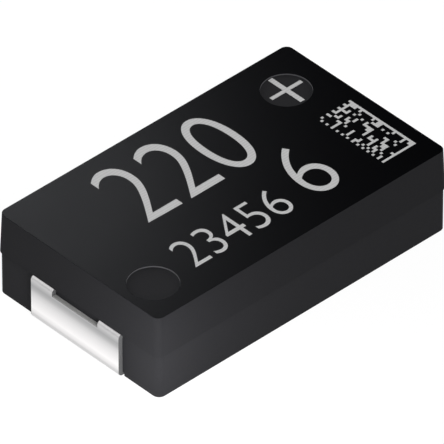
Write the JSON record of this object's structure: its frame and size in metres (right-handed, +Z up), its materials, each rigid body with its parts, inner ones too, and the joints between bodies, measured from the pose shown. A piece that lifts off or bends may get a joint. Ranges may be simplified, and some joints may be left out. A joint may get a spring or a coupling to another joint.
{
  "type": "aluminium polymer capacitor",
  "caption": "Low rectangular surface-mount capacitor: black moulded resin case with forked tin-plated terminals folded under both ends, and coated aluminium foils stacked inside.",
  "frame": {"origin": "middle of the footprint on the seating plane, under the two feet", "axes": "+X along the body towards the anode end that is marked plus, +Z up from the board"},
  "size_m": [0.0074, 0.0044, 0.0018],
  "materials": {
    "mould_resin": "fine matt moulded epoxy, silica filled",
    "tin_plate": "satin tin plating on copper alloy sheet",
    "etched_foil": "dull etched aluminium foil",
    "resist_resin": "amber insulating resin",
    "cathode_paint": "grey conductive paint",
    "silver_adhesive": "silver-filled adhesive"
  },
  "bodies": {
    "root": {"resin_case": "mould_resin", "cathode_terminal": "tin_plate", "anode_terminal": "tin_plate", "anode_foil_1": "etched_foil", "anode_foil_2": "etched_foil", "anode_foil_3": "etched_foil", "anode_foil_4": "etched_foil", "resist_band_1": "resist_resin", "resist_band_2": "resist_resin", "resist_band_3": "resist_resin", "resist_band_4": "resist_resin", "cathode_coat_1": "cathode_paint", "cathode_coat_2": "cathode_paint", "cathode_coat_3": "cathode_paint", "cathode_coat_4": "cathode_paint", "silver_bond_1": "silver_adhesive", "silver_bond_2": "silver_adhesive", "silver_bond_3": "silver_adhesive", "silver_bond_4": "silver_adhesive"}
  },
  "joints": []
}
